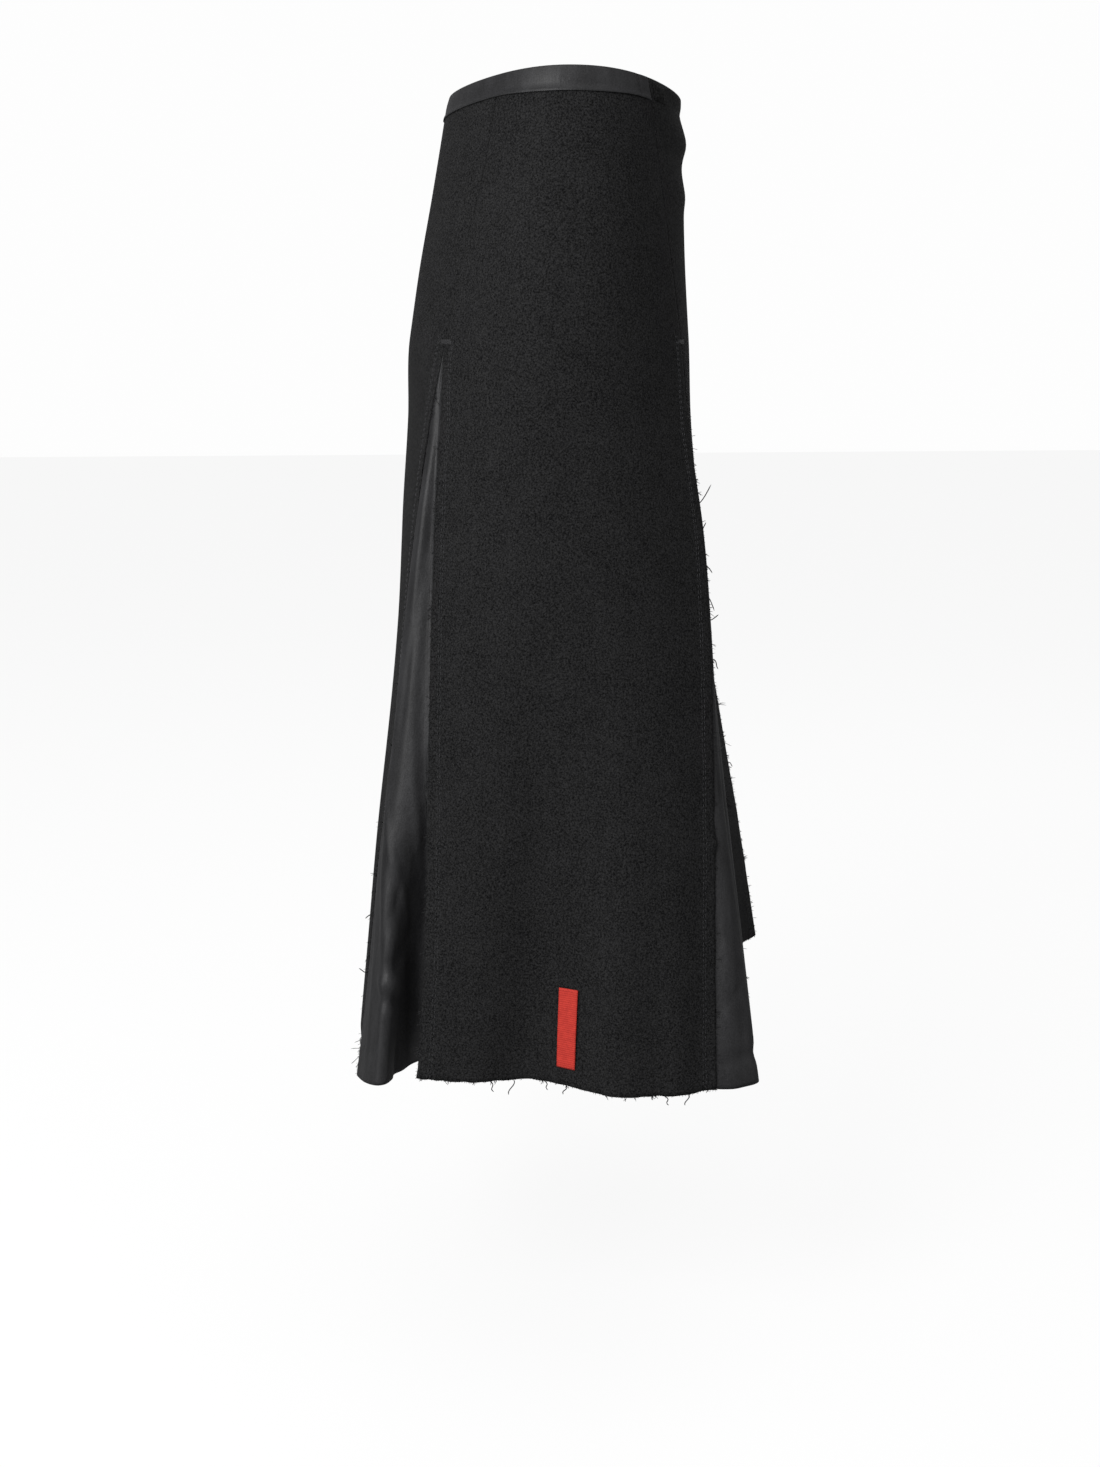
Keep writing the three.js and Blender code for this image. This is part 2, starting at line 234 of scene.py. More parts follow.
# Three points of a godet's section, each with its share of the way across and how far out it is.
GODET_COLUMNS = ("drop", "s1", "out1", "s2", "out2", "s3", "out3")
DEEP_PLEAT = (
    (200, 0.3, 0, 0.5, 0, 0.7, 0),
    (250, 0.3, 0, 0.5, -1, 0.7, -1),
    (350, 0.35, 4, 0.6, 6, 0.85, -1),
    (500, 0.42, 11, 0.66, 10, 0.88, 0),
    (600, 0.55, 17, 0.74, 9, 0.92, -8),
    (690, 0.72, 22, 0.6, -8, 0.88, -18),
    (773, 0.79, 25, 0.5, -23, 0.86, -27),
)
OPEN_FLUTE = (
    (200, 0.3, 0, 0.5, 0, 0.7, 0),
    (250, 0.3, -1, 0.5, -1.5, 0.7, -1),
    (350, 0.3, -2, 0.55, -5, 0.8, -3),
    (480, 0.2, 1, 0.55, -8, 0.8, -2),
    (560, 0.16, 6, 0.52, -11, 0.82, 0),
    (657, 0.17, 18, 0.5, -16, 0.82, 4),
    (773, 0.175, 33, 0.5, -21, 0.83, 8),
)
GODETS = (
    ("godet_front_left", "front", "side_left", DEEP_PLEAT),
    ("godet_back_left", "side_left", "back", OPEN_FLUTE),
    ("godet_back_right", "back", "side_right", DEEP_PLEAT),
    ("godet_front_right", "side_right", "front", OPEN_FLUTE),
)


def smooth(x, low, high):
    t = np.clip((np.asarray(x, float) - low) / (high - low), 0, 1)
    return t * t * (3 - 2 * t)


def bell(x, middle, width):
    return np.exp(-(((x - middle) / width) ** 2))


def unit(vector):
    return vector / max(np.linalg.norm(vector), 1e-9)


def length_of(line):
    return np.linalg.norm(np.diff(line, axis=0), axis=1).sum()


def distances(line):
    """How far along a line each of its points is."""
    return np.concatenate([[0], np.cumsum(np.linalg.norm(np.diff(line, axis=0), axis=1))])


def at_distance(values, along, at):
    """The values that belong to a line's points, at one distance along it."""
    return np.array([np.interp(at, along, values[:, k]) for k in range(3)])


def row_at(columns, rows, drop):
    """The row of a table at a drop: cubic between rows, with a one-sided slope at GODET_TOP."""
    last = len(rows) - 1
    i = 0
    while i < last - 1 and drop > rows[i + 1][0]:
        i += 1
    step = rows[i + 1][0] - rows[i][0]
    t = min(max((drop - rows[i][0]) / step, 0), 1)

    def slope(k, column):
        low = max(k - 1, 0)
        high = k if k > 0 and rows[k][0] == GODET_TOP else min(k + 1, last)
        return (rows[high][column] - rows[low][column]) / (rows[high][0] - rows[low][0]) * step

    made = {}
    for column, name in enumerate(columns):
        start, end = rows[i][column], rows[i + 1][column]
        into, out = slope(i, column), slope(i + 1, column)
        c2 = 3 * (end - start) - 2 * into - out
        c3 = 2 * (start - end) + into + out
        made[name] = start + t * (into + t * (c2 + t * c3))
    return made


def outward(p, q):
    """Level directions out of the body, square to the way from p to q."""
    d = np.stack([q[..., 1] - p[..., 1], p[..., 0] - q[..., 0], np.zeros_like(q[..., 0])], -1)
    return d / np.maximum(np.linalg.norm(d, axis=-1, keepdims=True), 1e-9)


def panel_points(panel, across, drop):
    """Points of a panel's outer face at the places across, at one drop."""
    row = row_at(PANEL_COLUMNS, PANEL_TABLES[panel], drop)
    across = np.asarray(across, float)
    a = np.array([row["ax"], row["ay"], 0.0])
    b = np.array([row["bx"], row["by"], 0.0])
    out = row["bow"] * (1 - np.abs(2 * across - 1) ** ROUNDNESS)
    drape = smooth(drop, DRAPE_FROM, HEM)
    for place, width, stands in FOLDS[panel]:
        out = out + drape * stands * bell(across, place, width)
    if panel == "front":
        for at, half, stands in FRONT_RIPPLES:
            out = out + stands * bell(drop, at, half) * np.sin(np.pi * across)
    points = a + (b - a) * across[:, None] + outward(a, b) * out[:, None]
    sag = HEM_SAG[panel][0] + (HEM_SAG[panel][1] - HEM_SAG[panel][0]) * across
    dip = WAIST_DIP * (points[:, 1] / HALF_DEPTH) ** 2
    lift = BAND_NARROWS * smooth(np.abs(points[:, 1]), 0, BAND_TAPER)
    near_waist = 1 - smooth(drop, 0, GODET_TOP)
    down_band = min(drop / BAND_HEIGHT, 1)
    points[:, 2] = -drop + (lift * down_band - dip) * near_waist - sag * drape
    fade_from, fade_to = (share * BAND_HEIGHT for share in BAND_RISE_FADES)
    rise = BAND_RISE * (down_band * (1 - smooth(drop, fade_from, fade_to)))
    points[:, 2] += rise * bell(points[:, 1], 0, BAND_RISE_WIDTH)
    return points


def panel_length(panel, drop):
    return length_of(panel_points(panel, np.linspace(0, 1, LENGTH_POINTS), drop))


def seam_line(panel, drop):
    """Points across a panel: raw edge, topstitching and end of the godet's allowance on each side."""
    length = panel_length(panel, drop)
    lap, inner = LAP / length, UNDER_LAP / length
    middle = inner + (1 - 2 * inner) * np.arange(1, SEAM_COLUMNS) / SEAM_COLUMNS
    return panel_points(panel, [0, lap, inner, *middle, 1 - inner, 1 - lap, 1], drop)


def line_normals(line):
    before = line[np.maximum(np.arange(len(line)) - 1, 0)]
    after = line[np.minimum(np.arange(len(line)) + 1, len(line) - 1)]
    return outward(before, after)


def panel_normals(panel, drop, line):
    """Directions out of a line on a panel. Two panels that meet edge to edge share one there."""
    place = ROUND.index(panel)
    before = line_normals(seam_line(ROUND[place - 1], drop))[-1]
    after = line_normals(seam_line(ROUND[(place + 1) % len(ROUND)], drop))[0]
    shared = 1 - smooth(drop, GODET_TOP, SEAM_OPEN)
    own = line_normals(line)
    own[0] = unit(own[0] + before * shared)
    own[-1] = unit(own[-1] + after * shared)
    return own


def under_panel(panel, drop):
    """The line that the nylon sewn under a panel follows."""
    line = seam_line(panel, drop)
    return line - panel_normals(panel, drop, line) * (LAP_WALL + LAP_GAP)


def catmull_rom(points, share):
    """A point of a centripetal Catmull-Rom curve through the points, share from 0 to 1."""
    place = share * (len(points) - 1)
    i = min(int(place), len(points) - 2)
    w = place - i
    p1, p2 = points[i], points[i + 1]
    p0 = points[i - 1] if i > 0 else 2 * p1 - p2
    p3 = points[i + 2] if i + 2 < len(points) else 2 * p2 - p1
    d0, d1, d2 = (max(np.dot(q - p, q - p) ** 0.25, 1e-4) for p, q in ((p0, p1), (p1, p2), (p2, p3)))
    t1 = ((p1 - p0) / d0 - (p2 - p0) / (d0 + d1) + (p2 - p1) / d1) * d1
    t2 = ((p2 - p1) / d1 - (p3 - p1) / (d1 + d2) + (p3 - p2) / d2) * d1
    c2 = -3 * p1 + 3 * p2 - 2 * t1 - t2
    c3 = 2 * p1 - 2 * p2 + t1 + t2
    return p1 + w * (t1 + w * (c2 + w * c3))


FOLD_EARLY = 26.0  # how much higher a deep pleat begins to fold under
FOLD_EARLY_AT = 650.0
FOLD_EARLY_LENGTH = 60.0
FOLD_ROUNDS = 3  # how often the solid's folds are rounded
GODET_FREE = 20  # the solid's columns between the raw edges
GODET_FINE = 4  # fine columns for each of the solid's


def godet_line(start, end, section, drop):
    """A godet at one drop: two points under each panel and the free cloth between their raw edges."""
    from_edge, from_stitch, from_end = under_panel(start, drop)[::-1][:3]
    to_edge, to_stitch, to_end = under_panel(end, drop)[:3]
    early = FOLD_EARLY * bell(drop, FOLD_EARLY_AT, FOLD_EARLY_LENGTH) if section is DEEP_PLEAT else 0
    row = row_at(GODET_COLUMNS, section, drop + early)
    out = outward(from_edge, to_edge)
    middle = [
        from_edge + (to_edge - from_edge) * row[f"s{i}"] + out * row[f"out{i}"] for i in (1, 2, 3)
    ]
    points = [from_stitch, from_edge, *middle, to_edge, to_stitch]
    skipped = 1 / (len(points) - 1)
    count = GODET_FREE * GODET_FINE
    shares = skipped + (1 - 2 * skipped) * np.arange(count + 1) / count
    free = np.array([catmull_rom(points, s) for s in shares])
    for _ in range(FOLD_ROUNDS * GODET_FINE**2):
        free[1:-1] = (2 * free[1:-1] + free[:-2] + free[2:]) / 4
    return np.array([from_end, from_stitch, *free, to_stitch, to_end])


# ---------------- creases and uneven cloth

# Creases: place across, drop of the middle, half width, half length, how far they lean across for each
# millimetre down, and how far they stand out. On a godet the places run from raw edge to raw edge.
CREASES = {
    "side_right": (
        (0.5, 120, 60, 70, 0.0, 1.2),
        (0.22, 330, 14, 110, 0.02, -1.6),
        (0.3, 560, 16, 150, 0.03, 2.2),
        (0.55, 640, 20, 170, -0.03, -2.4),
        (0.8, 600, 13, 140, 0.02, 1.6),
        (0.12, 690, 10, 80, 0.01, -1.4),
    ),
    "front": (
        (0.3, 330, 18, 120, 0.03, -1.5),
        (0.52, 560, 22, 170, -0.02, 2.4),
        (0.75, 640, 15, 120, 0.02, -2.0),
        (0.12, 650, 11, 90, 0.0, 1.3),
    ),
    "side_left": (
        (0.45, 300, 20, 110, -0.02, -1.6),
        (0.2, 610, 16, 150, 0.03, 2.0),
        (0.62, 560, 19, 160, 0.0, -2.3),
        (0.83, 660, 12, 100, -0.02, 1.5),
    ),
    "back": (
        (0.35, 310, 22, 120, 0.02, 1.4),
        (0.5, 590, 20, 160, 0.03, -2.5),
        (0.75, 640, 15, 130, -0.03, 2.0),
        (0.14, 600, 12, 100, 0.0, -1.4),
    ),
    "godet_back_right": (
        (0.3, 480, 5, 120, 0.02, 1.4),
        (0.55, 450, 4, 80, -0.05, -1.5),
        (0.75, 560, 4, 70, 0.03, 1.3),
        (0.5, 600, 4, 40, 0.25, 1.6),
        (0.47, 640, 4, 26, -0.35, -1.8),
        (0.5, 676, 10, 15, -0.8, -2.4),
        (0.44, 695, 13, 9, 1.2, 2.4),
        (0.42, 708, 13, 7, 1.2, -2.2),
        (0.4, 660, 6.5, 150, 0.0, 2.6),
        (0.55, 768, 8, 40, 0.0, -4.0),
        (0.2, 700, 4, 60, 0.05, 0.9),
        (0.3, 540, 3, 30, 0.2, 0.8),
    ),
    "godet_front_right": (
        (0.3, 500, 5, 110, 0.03, -1.4),
        (0.5, 610, 5, 80, -0.05, 1.6),
        (0.7, 560, 4, 90, 0.04, -1.3),
        (0.075, 700, 8, 90, 0.0, 4.0),
        (0.1, 672, 5, 9, 0.8, 1.2),
        (0.09, 704, 6, 8, -0.9, -1.3),
        (0.12, 752, 26, 6, 0.2, -2.6),
    ),
    "godet_front_left": (
        (0.35, 540, 5, 100, 0.03, 1.6),
        (0.6, 630, 6, 60, -0.2, -2.0),
        (0.78, 520, 4, 80, 0.02, -1.2),
        (0.3, 700, 7, 24, 0.3, -1.9),
    ),
    "godet_back_left": (
        (0.4, 520, 5, 100, -0.03, -1.5),
        (0.55, 650, 6, 50, 0.25, 1.9),
        (0.75, 600, 4, 70, 0.02, 1.3),
        (0.25, 690, 7, 26, -0.25, -1.6),
    ),
}


def crease_height(creases, place, drop, length):
    """How far the creases push the cloth out at places along one line of a given length."""
    height = np.zeros_like(place)
    for middle, at, half_width, half_length, lean, out in creases:
        centre = middle * length + lean * (drop - at)
        height += out * bell(place * length, centre, half_width) * bell(drop, at, half_length)
    return height


def uneven(seed, count, size):
    """A soft random line of a given length, from -1 to 1, that changes over about size samples."""
    rng = np.random.default_rng(seed)
    knots = rng.uniform(-1, 1, max(int(count / size) + 4, 5))
    place = np.linspace(0, len(knots) - 4, count) + 1
    i = place.astype(int)
    w = place - i
    w = w * w * (3 - 2 * w)
    return knots[i] * (1 - w) + knots[i + 1] * w


# ---------------- meshes

PIECES = {}  # every visible piece by its name


def add_mesh(name, vertices, faces, material):
    """A new piece from points in millimetres."""
    data = bpy.data.meshes.new(name)
    data.from_pydata([tuple(v) for v in np.asarray(vertices) / 1000.0], [], faces)
    data.materials.append(material)
    data.polygons.foreach_set("use_smooth", [True] * len(data.polygons))
    data.update()
    piece = bpy.data.objects.new(name, data)
    bpy.context.scene.collection.objects.link(piece)
    PIECES[name] = piece
    return piece


def shell(outer, inner):
    """Vertices and faces of a closed thin wall between two grids, rows from the top down."""
    rows, columns = outer.shape[:2]
    vertices = np.concatenate([outer.reshape(-1, 3), inner.reshape(-1, 3)])
    far = rows * columns  # from a point of the outer grid to its twin in the inner one
    grid = np.arange(far).reshape(rows, columns)
    a, b, c, d = grid[:-1, :-1], grid[1:, :-1], grid[1:, 1:], grid[:-1, 1:]
    front = np.stack([a, b, c, d], -1).reshape(-1, 4)
    back = np.stack([a, d, c, b], -1).reshape(-1, 4) + far
    faces = [*map(tuple, front), *map(tuple, back)]
    for rim, opposite in ((grid[:, 0], grid[:, -1]), (grid[-1], grid[0])):
        faces += [(p, p + far, q + far, q) for p, q in zip(rim[:-1], rim[1:])]
        faces += [(p, q, q + far, p + far) for p, q in zip(opposite[:-1], opposite[1:])]
    return vertices, [tuple(int(i) for i in f) for f in faces]


def outward_normals(grid):
    """Directions out of the body on a surface given as rows of points."""
    n = np.cross(np.gradient(grid, axis=0), np.gradient(grid, axis=1))
    n = n / np.maximum(np.linalg.norm(n, axis=-1, keepdims=True), 1e-9)
    middle = (len(grid) // 2, grid.shape[1] // 2)
    points_out = np.dot(n[middle][:2], grid[middle][:2]) > 0
    return n if points_out else -n


# ---------------- materials

def add_node(tree, kind, **settings):
    node = tree.nodes.new(kind)
    for key, value in settings.items():
        setattr(node, key, value)
    return node


def new_material(name):
    """A material, its nodes, its shader and the object's coordinates."""
    material = bpy.data.materials.new(name)
    material.use_nodes = True
    tree = material.node_tree
    at = add_node(tree, "ShaderNodeTexCoord").outputs["Object"]
    return material, tree, tree.nodes["Principled BSDF"], at


def noise(tree, at, scale, detail, rough):
    node = add_node(tree, "ShaderNodeTexNoise")
    set_inputs(node, {"Scale": scale, "Detail": detail, "Roughness": rough})
    tree.links.new(at, node.inputs["Vector"])
    return node.outputs["Fac"]


def stretched(tree, at, scale):
    node = add_node(tree, "ShaderNodeMapping")
    set_inputs(node, {"Scale": scale})
    tree.links.new(at, node.inputs["Vector"])
    return node.outputs["Vector"]


def bump(tree, height, distance, strength, below=None):
    node = add_node(tree, "ShaderNodeBump")
    set_inputs(node, {"Distance": distance, "Strength": strength})
    tree.links.new(height, node.inputs["Height"])
    if below is not None:
        tree.links.new(below, node.inputs["Normal"])
    return node.outputs["Normal"]


def colour_by(tree, shader, value, *stops):
    """Colour a material by a pattern: each stop is a value and the colour it gets."""
    node = add_node(tree, "ShaderNodeValToRGB")
    while len(node.color_ramp.elements) < len(stops):
        node.color_ramp.elements.new(0.5)
    for element, (at, colour) in zip(node.color_ramp.elements, stops):
        element.position = at
        element.color = (*colour, 1)
    tree.links.new(value, node.inputs["Fac"])
    tree.links.new(node.outputs["Color"], shader.inputs["Base Color"])


def blend(tree, fine, broad, share):
    """One pattern laid over another, with the fine one's share of the whole."""
    eased = add_node(tree, "ShaderNodeMath", operation="MULTIPLY")
    tree.links.new(broad, eased.inputs[0])
    eased.inputs[1].default_value = 1 - share
    mixed = add_node(tree, "ShaderNodeMath", operation="MULTIPLY_ADD")
    tree.links.new(fine, mixed.inputs[0])
    mixed.inputs[1].default_value = share
    tree.links.new(eased.outputs[0], mixed.inputs[2])
    return mixed.outputs[0]


def wool_material(name, dark, light):
    """Felted black melton: short fibres in all directions in faint patches, matt, with a soft nap."""
    material, tree, shader, at = new_material(name)
    fibres = noise(tree, at, scale=1500, detail=2, rough=0.6)
    flecks = noise(tree, at, scale=740, detail=4, rough=0.7)
    patches = noise(tree, at, scale=34, detail=3, rough=0.55)
    colour_by(tree, shader, blend(tree, flecks, patches, 0.92), (0.38, dark), (0.64, light))
    set_inputs(shader, {"Roughness": 0.93, "Specular IOR Level": 0.008})
    set_inputs(shader, {"Sheen Weight": 0.004, "Sheen Roughness": 0.5})
    low = bump(tree, flecks, distance=0.0005, strength=0.5)
    fine = bump(tree, fibres, distance=0.0003, strength=0.5, below=low)
    tree.links.new(fine, shader.inputs["Normal"])
    return material


def nylon_material(name, dark, light):
    """Black nylon: a fine plain weave with a silky sheen, and small soft wrinkles that run down it."""
    material, tree, shader, at = new_material(name)
    folds = noise(tree, stretched(tree, at, (1, 1, 0.3)), scale=75, detail=3, rough=0.55)
    crinkles = noise(tree, stretched(tree, at, (1, 1, 0.6)), scale=240, detail=3, rough=0.6)
    weave = noise(tree, at, scale=950, detail=3, rough=0.65)
    colour_by(tree, shader, blend(tree, weave, folds, 0.6), (0.38, dark), (0.64, light))
    # The sheen shows only where the cloth is seen square on.
    turned = add_node(tree, "ShaderNodeLayerWeight")
    set_inputs(turned, {"Blend": 0.5})
    gloss = add_node(tree, "ShaderNodeMapRange", interpolation_type="SMOOTHSTEP")
    tree.links.new(turned.outputs["Facing"], gloss.inputs["Value"])
    set_inputs(gloss, {"From Min": 0.08, "From Max": 0.45, "To Min": 0.46, "To Max": 1.0})
    tree.links.new(gloss.outputs["Result"], shader.inputs["Roughness"])
    set_inputs(shader, {"Specular IOR Level": 0.118})
    low = bump(tree, folds, distance=0.004, strength=0.16)
    middle = bump(tree, crinkles, distance=0.0012, strength=0.22, below=low)
    fine = bump(tree, weave, distance=0.0003, strength=0.4, below=middle)
    tree.links.new(fine, shader.inputs["Normal"])
    return material


def ribbon_material():
    """Red grosgrain ribbon: fine ribs across it."""
    material, tree, shader, at = new_material("ribbon_grosgrain")
    ribs = add_node(tree, "ShaderNodeTexWave", bands_direction="Z")
    set_inputs(ribs, {"Scale": 190, "Distortion": 0.4})
    tree.links.new(at, ribs.inputs["Vector"])
    worn = noise(tree, at, scale=240, detail=3, rough=0.6)
    colour_by(tree, shader, worn, (0.3, (0.185, 0.011, 0.0075)), (0.7, (0.24, 0.017, 0.011)))
    set_inputs(shader, {"Roughness": 0.75, "Specular IOR Level": 0.12})
    ribbed = bump(tree, ribs.outputs["Fac"], distance=0.0003, strength=0.6)
    tree.links.new(ribbed, shader.inputs["Normal"])
    return material


def thread_material(name, colour, roughness):
    """Spun thread, with painted shade: a fine noise deepens its colour in spots, for the hollows between
    its plies.
    """
    material, tree, shader, at = new_material(name)
    twist_shade = noise(tree, at, scale=1100, detail=3, rough=0.6)
    # Painted shade: the spots of the noise get this deeper colour.
    shaded_colour = tuple(c * 0.55 for c in colour)
    colour_by(tree, shader, twist_shade, (0.3, shaded_colour), (0.7, colour))
    set_inputs(shader, {"Roughness": roughness, "Specular IOR Level": 0.15})
    return material


MATERIALS = {
    "wool": wool_material("wool_melton", (0.0018, 0.0018, 0.0019), (0.0131, 0.0131, 0.0134)),
    # The closing tab's wool is a darker copy of the panels' wool: painted shade, for the shadowed patch
    # at the band's end.
    "tab_wool_painted_shade": wool_material("closing_tab_wool", (0.0014, 0.0014, 0.0014), (0.0115, 0.0115, 0.0117)),
    "nylon": nylon_material("nylon_taffeta", (0.004, 0.004, 0.0043), (0.012, 0.012, 0.0128)),
    "ribbon": ribbon_material(),
    "stitch": thread_material("stitch_thread", (0.026, 0.026, 0.028), 0.6),
    "tack": thread_material("bar_tack_thread", (0.014, 0.014, 0.015), 0.7),
    "fray": thread_material("frayed_wool", (0.01, 0.01, 0.0105), 0.9),
    "ribbon_stitch": thread_material("ribbon_stitch_thread", (0.3, 0.025, 0.018), 0.6),
}

# ---------------- wool panels

PANEL_NODES = {
    "front": "front_panel",
    "side_left": "side_panel_left",
    "back": "back_panel",
    "side_right": "side_panel_right",
}
FINE_COLUMNS = 97
ROW_STEP = 3.6
EDGE_CROWDING = 0.144  # how much closer the columns are at the raw edges
EDGE_WAVER = 0.55  # raw edges wander by this much
WAVER_ROWS = 3.0  # and turn after about this many rows
MOST_WAVER = 0.6  # but never by more than this share of a column
EDGE_CURL = 0.45  # raw edges lift off the godet by this much, of which a part varies
CURL_STEADY = 0.45
CURL_VARIES = 0.55
CURL_ROWS = 9.0
CURL_WIDTH = 7.0
SEAM_DIP = 0.35  # of the sewn seams above the godets
CREASES_FULL = 2.4 * UNDER_LAP  # from a raw edge to where creases reach their full height
FULL_WALL = (1.0, 7.0)  # distances past the lap, between which the wall grows to its full thickness
HEM_WAVER = 0.5
HEM_COLUMNS = 2.5  # the hem turns after about this many columns
PANEL_SEED = 11  # of the first panel's uneven lines, and from one panel to the next
SEEDS_APART = 7
CURL_SEED = 20  # these two are added to the panel's own
HEM_SEED = 50

# Where a raw edge stands off the body: panel, side, drop, half length, width of the lift, and how far.
EDGE_LIFTS = (
    ("front", 1, 790, 55, 16, 7),
    ("side_right", 1, 588, 7, 5, 2.6),
    ("side_right", 1, 470, 40, 7, 0.8),
    ("side_right", 0, 640, 30, 6, 0.9),
    ("back", 1, 610, 60, 8, 0.7),
    ("side_left", 0, 560, 40, 8, 1.4),
    ("back", 0, 690, 30, 8, 1.6),
)


def drops_between(top, bottom):
    count = max(int(round((bottom - top) / ROW_STEP)), 1)
    return np.linspace(top, bottom, count + 1)


def panel_drops(panel):
    """Drops of a panel's rows. The front panel has no band over it, so it reaches the top edge."""
    top = 0.0 if panel == "front" else BAND_HEIGHT + BAND_GAP
    upper = drops_between(top, GODET_TOP)
    return np.concatenate([upper, drops_between(GODET_TOP, HEM)[1:]])


def first_row_below(panel, drop):
    return int(np.searchsorted(panel_drops(panel), drop))


def fine_places():
    """Places across a panel, closer together near its raw edges."""
    even = np.linspace(0, 1, FINE_COLUMNS)
    return even - EDGE_CROWDING * np.sin(2 * np.pi * even) / (2 * np.pi)


def panel_row(panel, drop, wavers, curls):
    """Outer and inner points of a panel's shell at one drop, with its creases and its uneven edges."""
    places = fine_places()
    line = panel_points(panel, places, drop)
    directions = panel_normals(panel, drop, line)
    length = length_of(line)
    from_edge = np.minimum(places, 1 - places) * length
    height = crease_height(CREASES[panel], places, drop, length)
    height = height * smooth(from_edge, UNDER_LAP, CREASES_FULL)
    open_seam = smooth(drop, GODET_TOP, SEAM_OPEN)
    for side, end, inside in EDGES:
        along = (places if side == 0 else 1 - places) * length
        curl = EDGE_CURL * open_seam * (CURL_STEADY + CURL_VARIES * curls[side])
        height = height + curl * bell(along, 0, CURL_WIDTH)
        height[end] -= SEAM_DIP * (1 - open_seam)
        for name, edge, at, half_length, width, out in EDGE_LIFTS:
            if (name, edge) == (panel, side):
                height = height + out * bell(drop, at, half_length) * bell(along, 0, width)
        shift = min(EDGE_WAVER * open_seam * wavers[side], MOST_WAVER * length / FINE_COLUMNS)
        line[end] = line[end] + unit(line[inside] - line[end]) * shift
    full_from, full_to = (UNDER_LAP + past for past in FULL_WALL)
    wall = LAP_WALL + (WOOL - LAP_WALL) * smooth(from_edge, full_from, full_to)
    outer = line + directions * height[:, None]
    inner = line + directions * (height - wall)[:, None]
    return outer, inner


def panel_grid(panel):
    """Outer and inner grids of a panel's shell."""
    drops = panel_drops(panel)
    seed = PANEL_SEED + SEEDS_APART * ROUND.index(panel)
    wavers = [uneven(seed + side, len(drops), WAVER_ROWS) for side in (0, 1)]
    curls = [uneven(seed + CURL_SEED + side, len(drops), CURL_ROWS) for side in (0, 1)]
    rows = [panel_row(panel, *row) for row in zip(drops, zip(*wavers), zip(*curls))]
    outer, inner = (np.array(grid) for grid in zip(*rows))
    hem = uneven(seed + HEM_SEED, FINE_COLUMNS, HEM_COLUMNS) * HEM_WAVER
    outer[-1, :, 2] += hem
    inner[-1, :, 2] += hem
    return outer, inner


SURFACES = {}  # the outer grid of each node's cloth, for what lies on it


def make_cloth(node, outer, inner, material):
    """The cloth that is shown in place of a solid."""
    name = f"cloth_{node}"
    vertices, faces = shell(outer, inner)
    piece = add_mesh(name, vertices, faces, MATERIALS[material])
    SURFACES[node] = outer
    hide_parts(node)


def make_panels():
    for panel, node in PANEL_NODES.items():
        outer, inner = panel_grid(panel)
        make_cloth(node, outer, inner, "wool")


# ---------------- nylon godets and waistband

CREASE_EDGE = 7.0  # creases begin over this distance from a raw edge
BELLY = 1.5  # how far a godet swells out past the raw edges beside it
BELLY_EDGE = (-1.0, 4.0)  # distances from a raw edge over which it swells
BELLY_WIDTHS = (6.0, 25.0)  # of the free cloth, between which it begins to swell
TUCK = 8.0  # how much further the cloth of a deep pleat tucks in beside the edge
TUCK_DROPS = (570.0, 625.0)  # over which the tuck grows to its full depth
TUCK_AT = 0.8
TUCK_WIDTH = 0.13
HEM_RISE = 11.0  # of a deep pleat's hem, where it is folded in
HEM_RISE_FROM = 700.0
HEM_RISE_AT = 0.84
HEM_RISE_WIDTH = 0.16


def godet_row(name, start, end, section, drop):
    """Outer points of a godet at one drop, with its creases, its swell and a deep pleat's tuck."""
    line = godet_line(start, end, section, drop)
    free = line[2:-2]
    out = line_normals(line)[2:-2]
    along = distances(free)
    to_end = along[-1] - along
    place = along / max(along[-1], 1e-6)
    room = smooth(along, 0, CREASE_EDGE) * smooth(to_end, 0, CREASE_EDGE)
    height = crease_height(CREASES[name], place, drop, along[-1]) * room
    belly = BELLY * smooth(along[-1], *BELLY_WIDTHS)
    height = height + belly * smooth(along, *BELLY_EDGE) * smooth(to_end, *BELLY_EDGE)
    free += out * height[:, None]
    if section is DEEP_PLEAT:
        tuck = TUCK * smooth(drop, *TUCK_DROPS) * bell(place, TUCK_AT, TUCK_WIDTH)
        free -= out * tuck[:, None]
        rise = HEM_RISE * smooth(drop, HEM_RISE_FROM, HEM)
        free[:, 2] += rise * bell(place, HEM_RISE_AT, HEM_RISE_WIDTH)
    return line


def make_godets():
    for name, start, end, section in GODETS:
        drops = drops_between(GODET_TOP, HEM)
        outer = np.array([godet_row(name, start, end, section, drop) for drop in drops])
        inner = outer - np.array([line_normals(line) for line in outer]) * NYLON
        make_cloth(name, outer, inner, "nylon")


BAND_DROPS = (0, 0.8, 3, 7, 11, 15, 18.5, 20.2, 21, 21.8, 22.4)
BAND_COLUMNS = 121  # over each panel that the band is sewn to
BAND_SEAM = 12.0  # from the band's end at the front right to the seam in it
BAND_GROOVE = 0.55  # depth and width of that seam
BAND_GROOVE_WIDTH = 1.5
BAND_LAP = 0.9  # thickness of the band's lower edge, where it laps over the wool
BAND_LAP_GAP = 0.1  # between that edge and the wool
BAND_LAP_DROPS = (18.0, BAND_HEIGHT - 0.2)  # over which the band comes out to lie on the wool
BAND_PUFF = 0.5  # how far the band is padded out at mid height
BAND_PUFF_HEIGHT = 20.0
BAND_END = 9.0  # the lap and the padding fade out over this length at the band's ends
END_LAP = 0.25  # share of the lap that is left there


def band_line(drop):
    """The band's line round the body at one drop, from its end at the front left."""
    places = np.linspace(0, 1, BAND_COLUMNS)
    first, *others = [panel_points(panel, places, drop) for panel in ROUND[1:]]
    return np.concatenate([first, *(points[1:] for points in others)])


